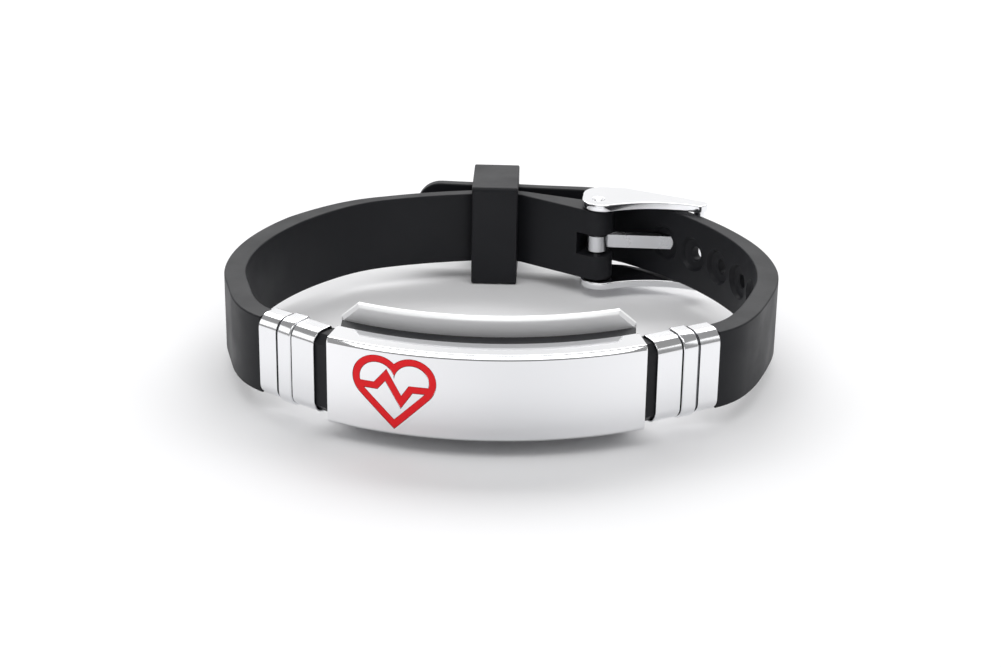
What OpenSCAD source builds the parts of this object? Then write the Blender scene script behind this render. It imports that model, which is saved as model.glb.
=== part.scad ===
// Medical alert bracelet: a curved steel identity bar with a red enamel emblem, on a black
// silicone strap with two steel end caps, a keeper and a fastened prong buckle.
// It rests on its side edges. X runs along the identity bar, which faces -Y, and Z is up.

/* [Wrist] */
// Width of the wrist hollow, side to side
wrist_w = 70.6; // [62:0.2:80]
// Depth of the wrist hollow, from the back plate to the strap opposite
wrist_d = 55; // [49:0.2:64]
// How far the hollow's middle lies to the right of the bar's middle
wrist_shift = 1.1; // [0:0.1:3]

/* [Identity bar] */
// Length of the bar, end to end
bar_len = 41; // [36:0.5:46]
// Height of the bar, across the strap
bar_h = 12; // [11:0.1:14]
// Thickness of the bar at its middle
bar_t = 4.4; // [3.6:0.1:5.4]
// Radius that the bar's front face is bent to
bar_front_r = 46.3; // [42:0.1:60]
// Chamfer along the front face's two long edges
bar_chamfer = 0.5; // [0.2:0.05:0.9]
// Turn of each end face away from square
bar_end_turn = 14; // [8:1:20]

/* [Back plate] */
// Length of the plate, end to end
plate_len = 38.4; // [34:0.2:40]
// Height of the plate, which the bracelet stands on
plate_h = 16.6; // [15:0.2:19]
// Thickness of the plate
plate_t = 1; // [0.7:0.1:1.6]
// Radius that the plate's front face is bent to
plate_r = 42; // [38:0.5:50]
// Cut across each corner of the plate
plate_corner = 2.3; // [1:0.1:3.5]
// Bevel along the front face's two long edges
plate_bevel = 0.4; // [0.1:0.05:0.5]

/* [Strap] */
// Width of the strap
strap_w = 10.9; // [9.5:0.1:12]
// Thickness of the strap at its sides
strap_t = 3; // [2.4:0.1:3.6]
// Thickness of the strap behind the bar
pad_t = 2.4; // [1.6:0.1:3]
// Width of the strap behind the bar
pad_w = 11.7; // [10.5:0.1:12]
// Set-back of the wide strap behind the bar from the bar's ends
pad_set_back = 1.4; // [1:0.1:4]
// Thickness of the strap where it thins before the buckle
thin_t = 1.9; // [1.6:0.1:2.6]
// Thickness of the free tail
tail_t = 1.6; // [1.2:0.1:2.4]
// Length of the straight tail past its last bend
tail_len = 19.5; // [14:0.5:26]
// Radius of the tail's rounded corners
tail_round = 3.8; // [1:0.1:4.5]
// Gap between the tail and the layer that it lies along
tail_gap = 1.5; // [1:0.1:3]
// Distance of the tail from the fold, where it passes over it
fold_pass = 4.4; // [3:0.1:5]
// Set-back of the strap's face from the bar's, at the bar's ends
strap_inset = 0.15; // [0.05:0.05:0.6]
// Width of the tongue that leads the strap behind the bar
tongue_w = 8.6; // [6:0.2:9.4]
// Thickness of the tongue past the bar's ends
tongue_t = 0.4; // [0.2:0.05:0.5]
// Diameter of each adjusting hole
hole_d = 2; // [1.6:0.1:3]
// Diameter of the dimple round each adjusting hole
dimple_d = 5; // [3.6:0.1:6]
// Depth of the dimple
dimple_depth = 0.6; // [0.2:0.05:0.9]
// Spacing of the adjusting holes along the strap
hole_pitch = 6.1; // [5.4:0.1:8]
// Number of adjusting holes towards the cap from the prong's hole
hole_count = 4; // [2:1:5]

/* [End caps] */
// Length of each cap along the strap
cap_len = 9.6; // [8:0.1:12]
// Sheet thickness of the caps
cap_wall = 0.25; // [0.2:0.05:0.4]
// Chamfer along a cap's outer edges
cap_chamfer = 1.2; // [0.6:0.1:1.3]
// Width of the raised bead
bead_w = 2.2; // [1.2:0.1:3]
// Height of the raised bead above the cap
bead_rise = 0.25; // [0.1:0.05:0.5]
// Plain stretch between the bead and the cap's outer end
bead_from_end = 3.5; // [2:0.1:5]
// Turn of the left cap from the bar's length
left_turn = 36; // [30:1:42]
// Turn of the right cap from the bar's length
right_turn = 31; // [26:1:36]
// Strap that shows between the bar and the left cap
left_show = 1.1; // [0.8:0.1:3]
// Strap that shows between the bar and the right cap
right_show = 0.7; // [0.6:0.1:3]

/* [Keeper] */
// Length of the keeper along the strap
keeper_len = 6.9; // [4:0.1:9]
// Wall of the keeper
keeper_wall = 1.5; // [1:0.1:2.2]
// Room that the keeper leaves outside of the tail
keeper_room = 2.7; // [1:0.1:3.5]
// Room that the keeper leaves inside of the strap
keeper_front_room = 0.9; // [0.3:0.1:1.5]
// Room that the keeper leaves above the strap
keeper_top_room = 0.3; // [0.2:0.1:0.8]
// Distance of the keeper's middle before the middle of the flat stretch
keeper_back = 1.5; // [0.5:0.1:3]
// Rounding of the keeper's corners
keeper_round = 0.5; // [0.3:0.1:1.2]

/* [Buckle] */
// Length of the strap's fold, from the keeper to the hinge pin
fold_len = 12; // [9:0.1:14]
// Diameter of the moulded fold round the hinge pin
fold_d = 4.7; // [4:0.1:6]
// Distance from the hinge pin to the far bar
buckle_len = 15; // [14:0.1:17]
// Distance from the hinge pin to the strap where it passes out beside the pin
bend_from_pin = 8; // [7.5:0.1:9]
// Angle at the hinge pin between the far bar and that place on the strap
bend_lean = 21; // [16:0.5:24]
// Distance along the strap from that place back to the prong's hole
hole_before_bend = 3.4; // [2.6:0.1:4]
// Distance from the hinge pin to the arms' rounded end
arm_behind = 2.4; // [2:0.1:3.2]
// Turn of the buckle's length from the bar's length
buckle_turn = -4; // [-8:0.5:-1]
// Depth of the arms at the hinge pin
arm_depth = 8.4; // [8:0.1:10]
// Distance of the arms' middle outwards of the hinge pin
arm_set_out = 1.3; // [0.5:0.1:1.8]
// Level stretch of the arms' outer edge past the hinge pin
arm_level = 3.4; // [1:0.1:5]
// Hollow of the arms' inner edge
arm_hollow = 1.5; // [0.4:0.1:1.5]
// Corner radius of the arms at the hinge end
arm_corner = 3; // [2:0.1:3.5]
// Thickness of each arm
arm_t = 1.1; // [0.8:0.05:1.4]
// Gap between the strap's edges and the arms
arm_gap = 0.2; // [0.2:0.05:0.6]
// Diameter of the far bar
far_bar_d = 1.6; // [1.2:0.1:2]
// Width of the arms at the far bar
arm_end_w = 2.4; // [2.2:0.1:4]
// Diameter of the hinge pin
pin_d = 1.6; // [1.2:0.1:1.8]
// Outer diameter of the prong's knuckle
knuckle_d = 3.2; // [2.8:0.1:3.4]
// Width of the prong's knuckle
knuckle_w = 2.4; // [2.2:0.1:3]
// Height of the slot in the fold that the knuckle turns in
slot_h = 3.4; // [3.2:0.1:5]
// Distance that the slot starts before the hinge pin
slot_back = 2.4; // [2:0.1:3.4]
// Width of the prong's shaft
prong_w = 2; // [1.2:0.1:2.2]
// Thickness of the prong's shaft
prong_t = 1.3; // [0.8:0.05:1.4]
// Length of the prong from the strap's hole to its crest
prong_crest = 1.4; // [1:0.1:2]
// Length of the prong past the far bar
prong_over = 1.2; // [0.5:0.1:2]

/* [Emblem] */
// Side of the square that the heart is drawn on
heart_side = 6.3; // [5:0.1:6.6]
// Distance from the bar's middle to the emblem's middle
emblem_x = 11.6; // [8:0.1:13]
// Width of the enamel lines
enamel_w = 0.85; // [0.6:0.05:1.2]
// Depth of the enamel in the bar
enamel_depth = 0.4; // [0.2:0.05:0.8]

/* [Fits] */
// Gap between pieces that are pressed or laid together
fit_gap = 0.1; // [0.05:0.05:0.2]

/* [Hidden] */
$fn = 180;
mid_z = plate_h / 2;
big = 4 * wrist_w;

// Shapes of the bar, the plate and the strap behind the bar, all bent about one centre
pad_inner_r = plate_r + fit_gap;
pad_outer_r = pad_inner_r + pad_t;
bar_back_r = pad_outer_r + fit_gap;
bend_y = bar_t + bar_back_r;
plate_inner_y = bend_y - plate_r + plate_t;
bar_end_y = bar_front_r - sqrt(pow(bar_front_r, 2) - pow(bar_len / 2, 2));

function dir(a) = [cos(a), sin(a)];
function angle_of(v) = atan2(v.y, v.x);

// Inner face of each side where it would meet the bar's end, and at the cap's mouth
function butt_point(turn) =
    let(back = strap_inset + strap_t / cos(turn))
    [bar_len / 2 - back * tan(bar_end_turn), bar_end_y + back];
function mouth_point(turn, show) = butt_point(turn) + (show + cap_len) * dir(turn);

// Columns of a station on the strap's inner face
AT = 0;
HEADING = 1;
THICK = 2;

// Point of the wrist hollow, as shares of half its width and of its depth
function hollow_point(share_x, share_y, shift) = [
    shift + share_x * wrist_w / 2,
    plate_inner_y + share_y * wrist_d
];

// Stations of the buckle side, which is drawn to the right and mirrored
left_stations = [
    [mouth_point(left_turn, left_show), left_turn, strap_t],
    [hollow_point(0.943, 0.243, -wrist_shift), 75, strap_t],
    [hollow_point(1, 0.425, -wrist_shift), 90, strap_t],
    [hollow_point(0.833, 0.748, -wrist_shift), 125, strap_t],
    [hollow_point(0.51, 0.929, -wrist_shift), 158, thin_t],
    [hollow_point(0.102, 1, -wrist_shift), 171, thin_t],
    [hollow_point(-0.077, 0.995, -wrist_shift), 190, thin_t]
];
fold_start = left_stations[len(left_stations) - 1];
fold_turn = fold_start[HEADING] + 17;
fold_from = fold_start[AT] + thin_t / 2 * dir(fold_start[HEADING] - 90);
fold_to = fold_from + fold_len * dir(fold_turn);

// Hinge pin and far bar, in the bracelet's own plan
pin_at = [-fold_to.x, fold_to.y];
far_at = pin_at + buckle_len * dir(buckle_turn);

// Stations of the hole side, which passes inside the far bar, takes the prong and goes over the
// fold to the outside
PIN_STATION = 4;
far_heading = 130;
far_reach = far_bar_d / 2 + arm_gap + thin_t;
right_stations = [
    [mouth_point(right_turn, right_show), right_turn, strap_t],
    [hollow_point(0.92, 0.238, wrist_shift), 70, strap_t],
    [hollow_point(1, 0.464, wrist_shift), 90, strap_t],
    [far_at - far_reach * dir(far_heading - 90), far_heading, thin_t],
    [pin_at + bend_from_pin * dir(buckle_turn + bend_lean), 139, thin_t],
    [pin_at + (fold_d / 2 + fold_pass) * dir(buckle_turn + 80), 158, (thin_t + tail_t) / 2],
    [[arm_behind - fold_from.x, fold_from.y + thin_t / 2 + tail_gap], 176, tail_t]
];
tail_start = right_stations[len(right_stations) - 1];

// Columns of an arc of the strap's inner face
CENTRE = 0;
RADIUS = 1;
START = 2;
SWEEP = 3;
T_START = 4;
T_END = 5;

// Joint of the two arcs that leave a and reach b with their headings
function joint_of(a, b) =
    let(
        v = b[AT] - a[AT],
        u0 = dir(a[HEADING]),
        u1 = dir(b[HEADING]),
        k = 2 * (1 - u0 * u1),
        q = v * (u0 + u1),
        reach = (sqrt(q * q + k * (v * v)) - q) / k
    )
    (a[AT] + b[AT] + reach * (u0 - u1)) / 2;

// Half the turn of an arc that leaves p with heading h and passes q
function half_turn(p, h, q) = (angle_of(q - p) - h + 540) % 360 - 180;
function arc_to(p, h, q, t0, t1) =
    let(r = norm(q - p) / (2 * sin(half_turn(p, h, q))))
    [p + r * dir(h + 90), r, h - 90, 2 * half_turn(p, h, q), t0, t1];

function two_arcs(a, b) =
    let(
        joint = joint_of(a, b),
        joint_heading = a[HEADING] + 2 * half_turn(a[AT], a[HEADING], joint),
        joint_thick = (a[THICK] + b[THICK]) / 2
    )
    [
        arc_to(a[AT], a[HEADING], joint, a[THICK], joint_thick),
        arc_to(joint, joint_heading, b[AT], joint_thick, b[THICK])
    ];
function arcs_through(stations) = [for (i = [0:len(stations) - 2]) each two_arcs(stations[i], stations[i + 1])];

left_arcs = arcs_through(left_stations);
right_arcs = arcs_through(right_stations);

function arc_length(a) = a[RADIUS] * a[SWEEP] * PI / 180;
function length_before(arcs, i) = i < 1 ? 0 : arc_length(arcs[i - 1]) + length_before(arcs, i - 1);
// Point on the inner face and its outward angle, a distance along the arcs
function place_on(arcs, distance, i = 0) =
    distance <= arc_length(arcs[i]) || i == len(arcs) - 1
        ? let(a = arcs[i], turn = a[START] + distance / a[RADIUS] * 180 / PI)
          [a[CENTRE] + a[RADIUS] * dir(turn), turn]
        : place_on(arcs, distance - arc_length(arcs[i]), i + 1);

// Points along the arcs, every few degrees, moved out by none or all of the thickness
arc_step = 3;
function side_points(arcs, moved) = [
    for (a = arcs)
        let(steps = ceil(abs(a[SWEEP]) / arc_step))
        for (k = [0:steps - 1])
            let(
                share = k / steps,
                thick = moved * (a[T_START] + share * (a[T_END] - a[T_START]))
            )
            a[CENTRE] + (a[RADIUS] + thick) * dir(a[START] + share * a[SWEEP])
];
function reversed(list) = [for (i = [len(list) - 1:-1:0]) list[i]];

// Side of a bent line at one of its points, moved out square to the line
function line_side(line, i, half) =
    let(
        last = len(line) - 1,
        from = min(i, last - 1),
        to = max(i, 1),
        before = angle_of(line[to] - line[to - 1]) + 90,
        after = angle_of(line[from + 1] - line[from]) + 90
    )
    line[i] + half * (dir(before) + dir(after)) / (1 + dir(before) * dir(after));
module thick_line(line, w) {
    last = len(line) - 1;
    polygon([
        for (i = [0:last]) line_side(line, i, w / 2),
        for (i = [last:-1:0]) line_side(line, i, -w / 2)
    ]);
}

// The prong leaves its knuckle, goes out through the strap and comes down on the far bar
prong_hole_at = length_before(right_arcs, 2 * PIN_STATION) - hole_before_bend;
prong_place = place_on(right_arcs, prong_hole_at);
prong_root = pin_at + (knuckle_d - prong_t) / 2 * dir(buckle_turn + 90);
prong_in_hole = prong_place[0] + thin_t / 2 * dir(prong_place[1]);
prong_rise = angle_of(prong_in_hole - prong_root);
prong_top = prong_in_hole + prong_crest * dir(prong_rise);
prong_off_bar = far_bar_d / 2 + fit_gap + prong_t / 2;
prong_fall = angle_of(far_at - prong_top) + asin(prong_off_bar / norm(far_at - prong_top));
prong_rest = far_at + prong_off_bar * dir(prong_fall + 90);
prong_tip = prong_rest + prong_over * dir(angle_of(prong_rest - prong_top));
prong_line = [prong_root, prong_top, prong_tip];

// Keeper, at the middle of the flat stretch before the fold
keeper_at = -(left_stations[5][AT].x + fold_start[AT].x) / 2 - keeper_back;
keeper_h = mid_z + strap_w / 2 + keeper_top_room + keeper_wall;
keeper_front = min(left_stations[5][AT].y, fold_start[AT].y) - keeper_front_room;
keeper_rear = tail_start[AT].y + tail_t + keeper_room;

// Shift that puts the middle of the bracelet's box over the origin
shift = [-wrist_shift, -(keeper_rear + keeper_wall) / 2, 0];

// Plan of a link with a round end at each of two points
module link_plan(p, p_r, q, q_r) {
    along = angle_of(q - p);
    lean = acos((p_r - q_r) / norm(q - p));
    polygon([
        p + p_r * dir(along + lean),
        p + p_r * dir(along - lean),
        q + q_r * dir(along - lean),
        q + q_r * dir(along + lean)
    ]);
    translate(p)
        circle(r = p_r);
    translate(q)
        circle(r = q_r);
}

// Plan between the bar's two slanted ends, with each end moved out by grow
module bar_ends_plan(grow) {
    end_x = bar_len / 2 + grow / cos(bar_end_turn);
    lean = tan(bar_end_turn);
    polygon([
        [end_x + (bar_end_y + bar_t) * lean, -bar_t],
        [end_x - bar_back_r / 2 * lean, bar_end_y + bar_back_r / 2],
        [-end_x + bar_back_r / 2 * lean, bar_end_y + bar_back_r / 2],
        [-end_x - (bar_end_y + bar_t) * lean, -bar_t]
    ]);
}

// Upright wall of a plan, centred on the strap's middle height
module upright(h) {
    translate([0, 0, mid_z - h / 2])
        linear_extrude(h)
            children();
}

// Disc with a chamfer round both its edges, for bent plates
module bent_disc(r, h, chamfer) {
    rotate_extrude($fn = 360)
        polygon([
            [0, -h / 2],
            [r - chamfer, -h / 2],
            [r, -h / 2 + chamfer],
            [r, h / 2 - chamfer],
            [r - chamfer, h / 2],
            [0, h / 2]
        ]);
}

// Section across the strap, its inner face at zero, with the outer edges chamfered
module strap_section(grow, chamfer) {
    top = strap_w / 2 + grow;
    out = strap_t + grow;
    polygon([
        [grow, -top],
        [grow, top],
        [chamfer - out, top],
        [-out, top - chamfer],
        [-out, chamfer - top],
        [chamfer - out, -top]
    ]);
}

// Straight run of a section from the bar's end outwards
module run_out(turn, from, length) {
    start = butt_point(turn);
    translate([start.x, start.y, mid_z])
        rotate([0, 0, turn])
            translate([from, 0, 0])
                rotate([90, 0, 90])
                    linear_extrude(length)
                        children();
}

// Cap on the right side; the left one is mirrored
module cap(turn, show) {
    sleeve = fit_gap + cap_wall;
    bead_from = show + cap_len - bead_from_end - bead_w;
    difference() {
        union() {
            run_out(turn, show, cap_len)
                strap_section(sleeve, cap_chamfer);
            run_out(turn, bead_from, bead_w)
                strap_section(sleeve + bead_rise, cap_chamfer);
        }
        run_out(turn, show - strap_t, cap_len + 2 * strap_t)
            strap_section(fit_gap, cap_chamfer - cap_wall / 2);
    }
}

// One side of the strap: from inside the bar's end, through the cap and along its arcs, with
// the inner and outer points of its far end
module strap_side(arcs, turn, show, inner_end, outer_end) {
    start = butt_point(turn) - strap_t * dir(turn);
    edge = strap_w / 2;
    bevel = cap_chamfer - cap_wall / 2;
    difference() {
        upright(strap_w)
            polygon([
                start,
                each side_points(arcs, 0),
                each inner_end,
                each reversed(outer_end),
                each reversed(side_points(arcs, 1)),
                start + strap_t * dir(turn - 90)
            ]);
        for (z = [-1, 1])
            run_out(turn, -2 * strap_t, 2 * strap_t + show + cap_len + fit_gap)
                polygon([
                    [2 * bevel - strap_t, z * (edge + bevel)],
                    [-strap_t - bevel, z * (edge - 2 * bevel)],
                    [-strap_t - bevel, z * (edge + bevel)]
                ]);
    }
}

// End points of the buckle side: round the moulded fold
fold_lean = acos((thin_t - fold_d) / 2 / fold_len);
fold_round = [
    for (a = [fold_lean:-fold_lean / 12:0])
        fold_to + fold_d / 2 * dir(fold_turn + a)
];
fold_round_outer = [
    for (a = [-fold_lean:fold_lean / 12:-0.1])
        fold_to + fold_d / 2 * dir(fold_turn + a)
];

// Bore for the hinge pin and slot for the prong's knuckle
module fold_cuts() {
    upright(big)
        translate(fold_to)
            circle(d = pin_d + 2 * fit_gap);
    upright(slot_h)
        translate(fold_to)
            rotate(fold_turn)
                translate([-slot_back, -fold_d])
                    square([slot_back + fold_d, 2 * fold_d]);
}

// End points of the hole side: the straight tail
tail_dir = dir(tail_start[HEADING]);
tail_out = tail_t * dir(tail_start[HEADING] - 90);
tail_inner = [tail_start[AT], tail_start[AT] + tail_len * tail_dir];
tail_outer = [for (p = tail_inner) p + tail_out];

// Waste at the two corners of the tail's tip
module tail_corner_waste() {
    for (z = [-1, 1])
        translate([tail_start[AT].x, tail_start[AT].y, mid_z])
            rotate([90, 0, tail_start[HEADING]])
                translate([tail_len - tail_round, z * (strap_w / 2 - tail_round), -2 * strap_t])
                    linear_extrude(4 * strap_t)
                        difference() {
                            translate([0, z > 0 ? 0 : -2 * tail_round])
                                square(2 * tail_round);
                            circle(r = tail_round);
                        }
}

// Adjusting hole with its dimple on the inner face
module adjusting_hole(distance) {
    at = place_on(right_arcs, distance);
    translate([at[0].x, at[0].y, mid_z])
        rotate([0, 90, at[1]]) {
            translate([0, 0, -strap_t])
                cylinder(d = hole_d, h = 3 * strap_t);
            translate([0, 0, -strap_t])
                cylinder(d = dimple_d, h = strap_t + dimple_depth);
        }
}

module strap() {
    color([0.13, 0.13, 0.14])
        translate(shift)
        difference() {
            union() {
                difference() {
                    strap_side(right_arcs, right_turn, right_show, tail_inner, tail_outer);
                    tail_corner_waste();
                }
                mirror([1, 0, 0])
                    difference() {
                        strap_side(left_arcs, left_turn, left_show, fold_round, fold_round_outer);
                        fold_cuts();
                    }
                upright(pad_w)
                    intersection() {
                        difference() {
                            translate([0, bend_y])
                                circle(r = pad_outer_r, $fn = 360);
                            translate([0, bend_y])
                                circle(r = pad_inner_r, $fn = 360);
                        }
                        translate([pad_set_back - bar_len / 2, 0])
                            square([bar_len - 2 * pad_set_back, bend_y / 2]);
                    }
                upright(tongue_w)
                    difference() {
                        intersection() {
                            bar_ends_plan(fit_gap + tongue_t);
                            translate([0, bend_y])
                                circle(r = bar_back_r + strap_t / 2, $fn = 360);
                        }
                        translate([0, bend_y])
                            circle(r = pad_inner_r, $fn = 360);
                    }
            }
            upright(big)
                difference() {
                    bar_ends_plan(fit_gap);
                    translate([0, bend_y])
                        circle(r = pad_outer_r, $fn = 360);
                }
            for (i = [0:hole_count])
                adjusting_hole(prong_hole_at - i * hole_pitch);
            upright(prong_w + 2 * fit_gap)
                thick_line(prong_line, prong_t + 2 * fit_gap);
        }
}

// Outline of a heart with its tip at the origin, its sides moved out by grow
lobe_at = heart_side / sqrt(8) * [1, 3];
function half_heart(grow) =
    let(lobe = heart_side / 2 + grow, notch = acos(-lobe_at.x / lobe), steps = 24)
    [
        for (k = [0:steps])
            lobe_at + lobe * dir(-45 + k / steps * (notch + 45))
    ];
function heart_points(grow) = [
    [0, -grow * sqrt(2)],
    each half_heart(grow),
    for (p = reversed(half_heart(grow))) [-p.x, p.y]
];

// Pulse line across the heart, as shares of the heart's side
pulse_shares = [[-0.76, 0.9], [-0.38, 0.9], [-0.17, 1.16], [0.14, 0.6], [0.34, 0.9], [0.76, 0.9]];
pulse = pulse_shares * heart_side;

// Emblem standing on the bar's front, from a depth under the face outwards
module emblem_prism(grow) {
    heart_h = heart_side * (3 / sqrt(8) + 1 / 2);
    translate([-emblem_x, bar_t, mid_z - heart_h / 2])
        rotate([90, 0, 0]) {
            linear_extrude(2 * bar_t)
                difference() {
                    polygon(heart_points(grow));
                    polygon(heart_points(-enamel_w - grow));
                }
            linear_extrude(2 * bar_t)
                thick_line(pulse, enamel_w + 2 * grow);
        }
}

module front_shell(depth) {
    difference() {
        translate([0, bar_front_r, mid_z])
            cylinder(r = bar_front_r + 1, h = bar_h, center = true, $fn = 360);
        translate([0, bar_front_r, mid_z])
            cylinder(r = bar_front_r - depth, h = 2 * bar_h, center = true, $fn = 360);
    }
}

module id_bar() {
    color([0.86, 0.87, 0.89])
        translate(shift)
        difference() {
            intersection() {
                translate([0, bar_front_r, mid_z])
                    bent_disc(bar_front_r, bar_h, bar_chamfer);
                upright(bar_h)
                    bar_ends_plan(0);
            }
            translate([0, bend_y, mid_z])
                cylinder(r = bar_back_r, h = 2 * bar_h, center = true, $fn = 360);
            intersection() {
                emblem_prism(fit_gap / 2);
                front_shell(enamel_depth);
            }
        }
}

module emblem_enamel() {
    color([0.85, 0.1, 0.12])
        translate(shift)
        intersection() {
            emblem_prism(0);
            front_shell(enamel_depth - fit_gap / 2);
            translate([0, bar_front_r, mid_z])
                cylinder(r = bar_front_r, h = bar_h, center = true, $fn = 360);
        }
}

module back_plate() {
    half = plate_len / 2;
    color([0.84, 0.85, 0.87])
        translate(shift)
        intersection() {
            difference() {
                translate([0, bend_y, mid_z])
                    bent_disc(plate_r, plate_h, plate_bevel);
                translate([0, bend_y, mid_z])
                    cylinder(r = plate_r - plate_t, h = 2 * plate_h, center = true, $fn = 360);
            }
            translate([0, bend_y / 2, mid_z])
                rotate([90, 0, 0])
                    linear_extrude(bend_y / 2)
                        polygon([
                            [-half, plate_corner - plate_h / 2],
                            [plate_corner - half, -plate_h / 2],
                            [half - plate_corner, -plate_h / 2],
                            [half, plate_corner - plate_h / 2],
                            [half, plate_h / 2 - plate_corner],
                            [half - plate_corner, plate_h / 2],
                            [plate_corner - half, plate_h / 2],
                            [-half, plate_h / 2 - plate_corner]
                        ]);
        }
}

module cap_left() {
    color([0.82, 0.83, 0.85])
        translate(shift)
        mirror([1, 0, 0])
            cap(left_turn, left_show);
}

module cap_right() {
    color([0.82, 0.83, 0.85])
        translate(shift)
        cap(right_turn, right_show);
}

// Box with its four long edges rounded, seen along the strap
module rounded_plan(from, to, r) {
    for (y = [from.x + r, to.x - r])
        for (z = [from.y + r, to.y - r])
            translate([y, z])
                circle(r = r, $fn = 32);
    translate([from.x + r, from.y])
        square([to.x - from.x - 2 * r, to.y - from.y]);
    translate([from.x, from.y + r])
        square([to.x - from.x, to.y - from.y - 2 * r]);
}

module keeper() {
    wall = [keeper_wall, keeper_wall];
    low = [keeper_front, keeper_wall];
    high = [keeper_rear, keeper_h - keeper_wall];
    color([0.15, 0.15, 0.16])
        translate(shift)
        translate([keeper_at - keeper_len / 2, 0, 0])
            rotate([90, 0, 90])
                linear_extrude(keeper_len)
                    difference() {
                        rounded_plan(low - wall, high + wall, keeper_round);
                        rounded_plan(low, high, keeper_round / 3);
                    }
}

// Corners of an arm: inner and outer one at the hinge end, and the end of the outer level stretch
function on_buckle(x, y) = pin_at + x * dir(buckle_turn) + y * dir(buckle_turn + 90);
arm_half = arm_depth / 2 - arm_corner;
arm_corners = [
    on_buckle(arm_corner - arm_behind, arm_set_out - arm_half),
    on_buckle(arm_corner - arm_behind, arm_set_out + arm_half),
    on_buckle(arm_level, arm_set_out + arm_half)
];

module arm_plan() {
    hollow_from = arm_corners[0] + arm_corner * dir(buckle_turn - 75);
    hollow_to = far_at + arm_end_w / 2 * dir(buckle_turn - 90);
    hollow_half = norm(hollow_to - hollow_from) / 2;
    hollow_r = (pow(hollow_half, 2) + pow(arm_hollow, 2)) / (2 * arm_hollow);
    hollow_out = angle_of(hollow_to - hollow_from) - 90;
    difference() {
        union() {
            for (c = arm_corners)
                link_plan(c, arm_corner, far_at, arm_end_w / 2);
            for (i = [0, 1])
                link_plan(arm_corners[i], arm_corner, arm_corners[i + 1], arm_corner);
            polygon([arm_corners[0], far_at, arm_corners[2], arm_corners[1]]);
        }
        translate((hollow_from + hollow_to) / 2 + (hollow_r - arm_hollow) * dir(hollow_out))
            circle(r = hollow_r);
    }
}

arm_inner = strap_w / 2 + arm_gap;
module buckle_frame() {
    color([0.85, 0.86, 0.88])
        translate(shift)
        difference() {
            union() {
                for (low = [-arm_inner - arm_t, arm_inner])
                    translate([0, 0, mid_z + low])
                        linear_extrude(arm_t)
                            arm_plan();
                translate([far_at.x, far_at.y, mid_z])
                    cylinder(d = far_bar_d, h = 2 * arm_inner + arm_t, center = true);
            }
            translate([pin_at.x, pin_at.y, mid_z])
                cylinder(d = pin_d + fit_gap, h = big, center = true);
        }
}

module hinge_pin() {
    color([0.78, 0.79, 0.81])
        translate(shift)
        translate([pin_at.x, pin_at.y, mid_z])
            cylinder(d = pin_d, h = 2 * (arm_inner + arm_t), center = true);
}

module prong() {
    color([0.83, 0.84, 0.86])
        translate(shift)
        difference() {
            union() {
                upright(knuckle_w)
                    translate(pin_at)
                        circle(d = knuckle_d);
                upright(prong_w)
                    thick_line(prong_line, prong_t);
            }
            translate([pin_at.x, pin_at.y, mid_z])
                cylinder(d = pin_d + fit_gap, h = big, center = true);
        }
}

id_bar();
emblem_enamel();
back_plate();
strap();
cap_left();
cap_right();
keeper();
buckle_frame();
hinge_pin();
prong();
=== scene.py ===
# Medical alert bracelet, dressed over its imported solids. It stands on its side edges.
# X runs along the identity bar, which faces -Y. All pieces are in metres.

import bpy
from math import acos, asin, atan2, ceil, cos, pi, radians, sin, sqrt, tan
from mathutils import Matrix, Vector


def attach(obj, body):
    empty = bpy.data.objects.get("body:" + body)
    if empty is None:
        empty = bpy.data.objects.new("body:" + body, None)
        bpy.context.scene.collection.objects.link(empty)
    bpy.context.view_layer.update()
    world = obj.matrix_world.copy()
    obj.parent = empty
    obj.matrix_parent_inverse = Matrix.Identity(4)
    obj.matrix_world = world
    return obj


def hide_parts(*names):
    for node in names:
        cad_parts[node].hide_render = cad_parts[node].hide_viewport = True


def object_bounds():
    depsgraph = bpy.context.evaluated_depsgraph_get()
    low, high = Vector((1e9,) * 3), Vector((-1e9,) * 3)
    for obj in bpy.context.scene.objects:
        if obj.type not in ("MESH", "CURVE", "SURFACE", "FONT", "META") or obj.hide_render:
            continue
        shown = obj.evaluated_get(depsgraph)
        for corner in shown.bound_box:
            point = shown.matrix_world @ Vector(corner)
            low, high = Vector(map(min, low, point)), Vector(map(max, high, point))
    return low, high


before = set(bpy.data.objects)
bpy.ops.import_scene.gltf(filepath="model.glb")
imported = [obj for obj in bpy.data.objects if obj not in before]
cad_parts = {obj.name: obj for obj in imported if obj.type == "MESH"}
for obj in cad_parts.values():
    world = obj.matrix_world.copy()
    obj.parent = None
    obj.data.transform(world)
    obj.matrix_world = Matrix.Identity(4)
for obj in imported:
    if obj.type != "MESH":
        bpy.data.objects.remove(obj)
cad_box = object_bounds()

# The camera stands in front of the bar and looks down on it, as in the photo. The lens is long,
# so the far side of the strap is hardly smaller than the near one.
mm = 0.001
camera_at = Vector((7.1, -290.65, 125.7)) * mm
camera_down, camera_left, camera_roll = radians(23.0), radians(1.43), radians(0.89)
picture_w, focal_px = 1001, 2221
bpy.ops.object.camera_add(location=camera_at)
camera = bpy.context.object
camera.name = "camera"
camera.rotation_euler = (
    Matrix.Rotation(camera_left, 3, "Z")
    @ Matrix.Rotation(pi / 2 - camera_down, 3, "X")
    @ Matrix.Rotation(camera_roll, 3, "Z")
).to_euler()
camera.data.sensor_fit = "HORIZONTAL"
camera.data.sensor_width = 36
camera.data.lens = focal_px / picture_w * camera.data.sensor_width
camera.data.clip_start, camera.data.clip_end = 10 * mm, 20
bpy.context.scene.camera = camera

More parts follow.
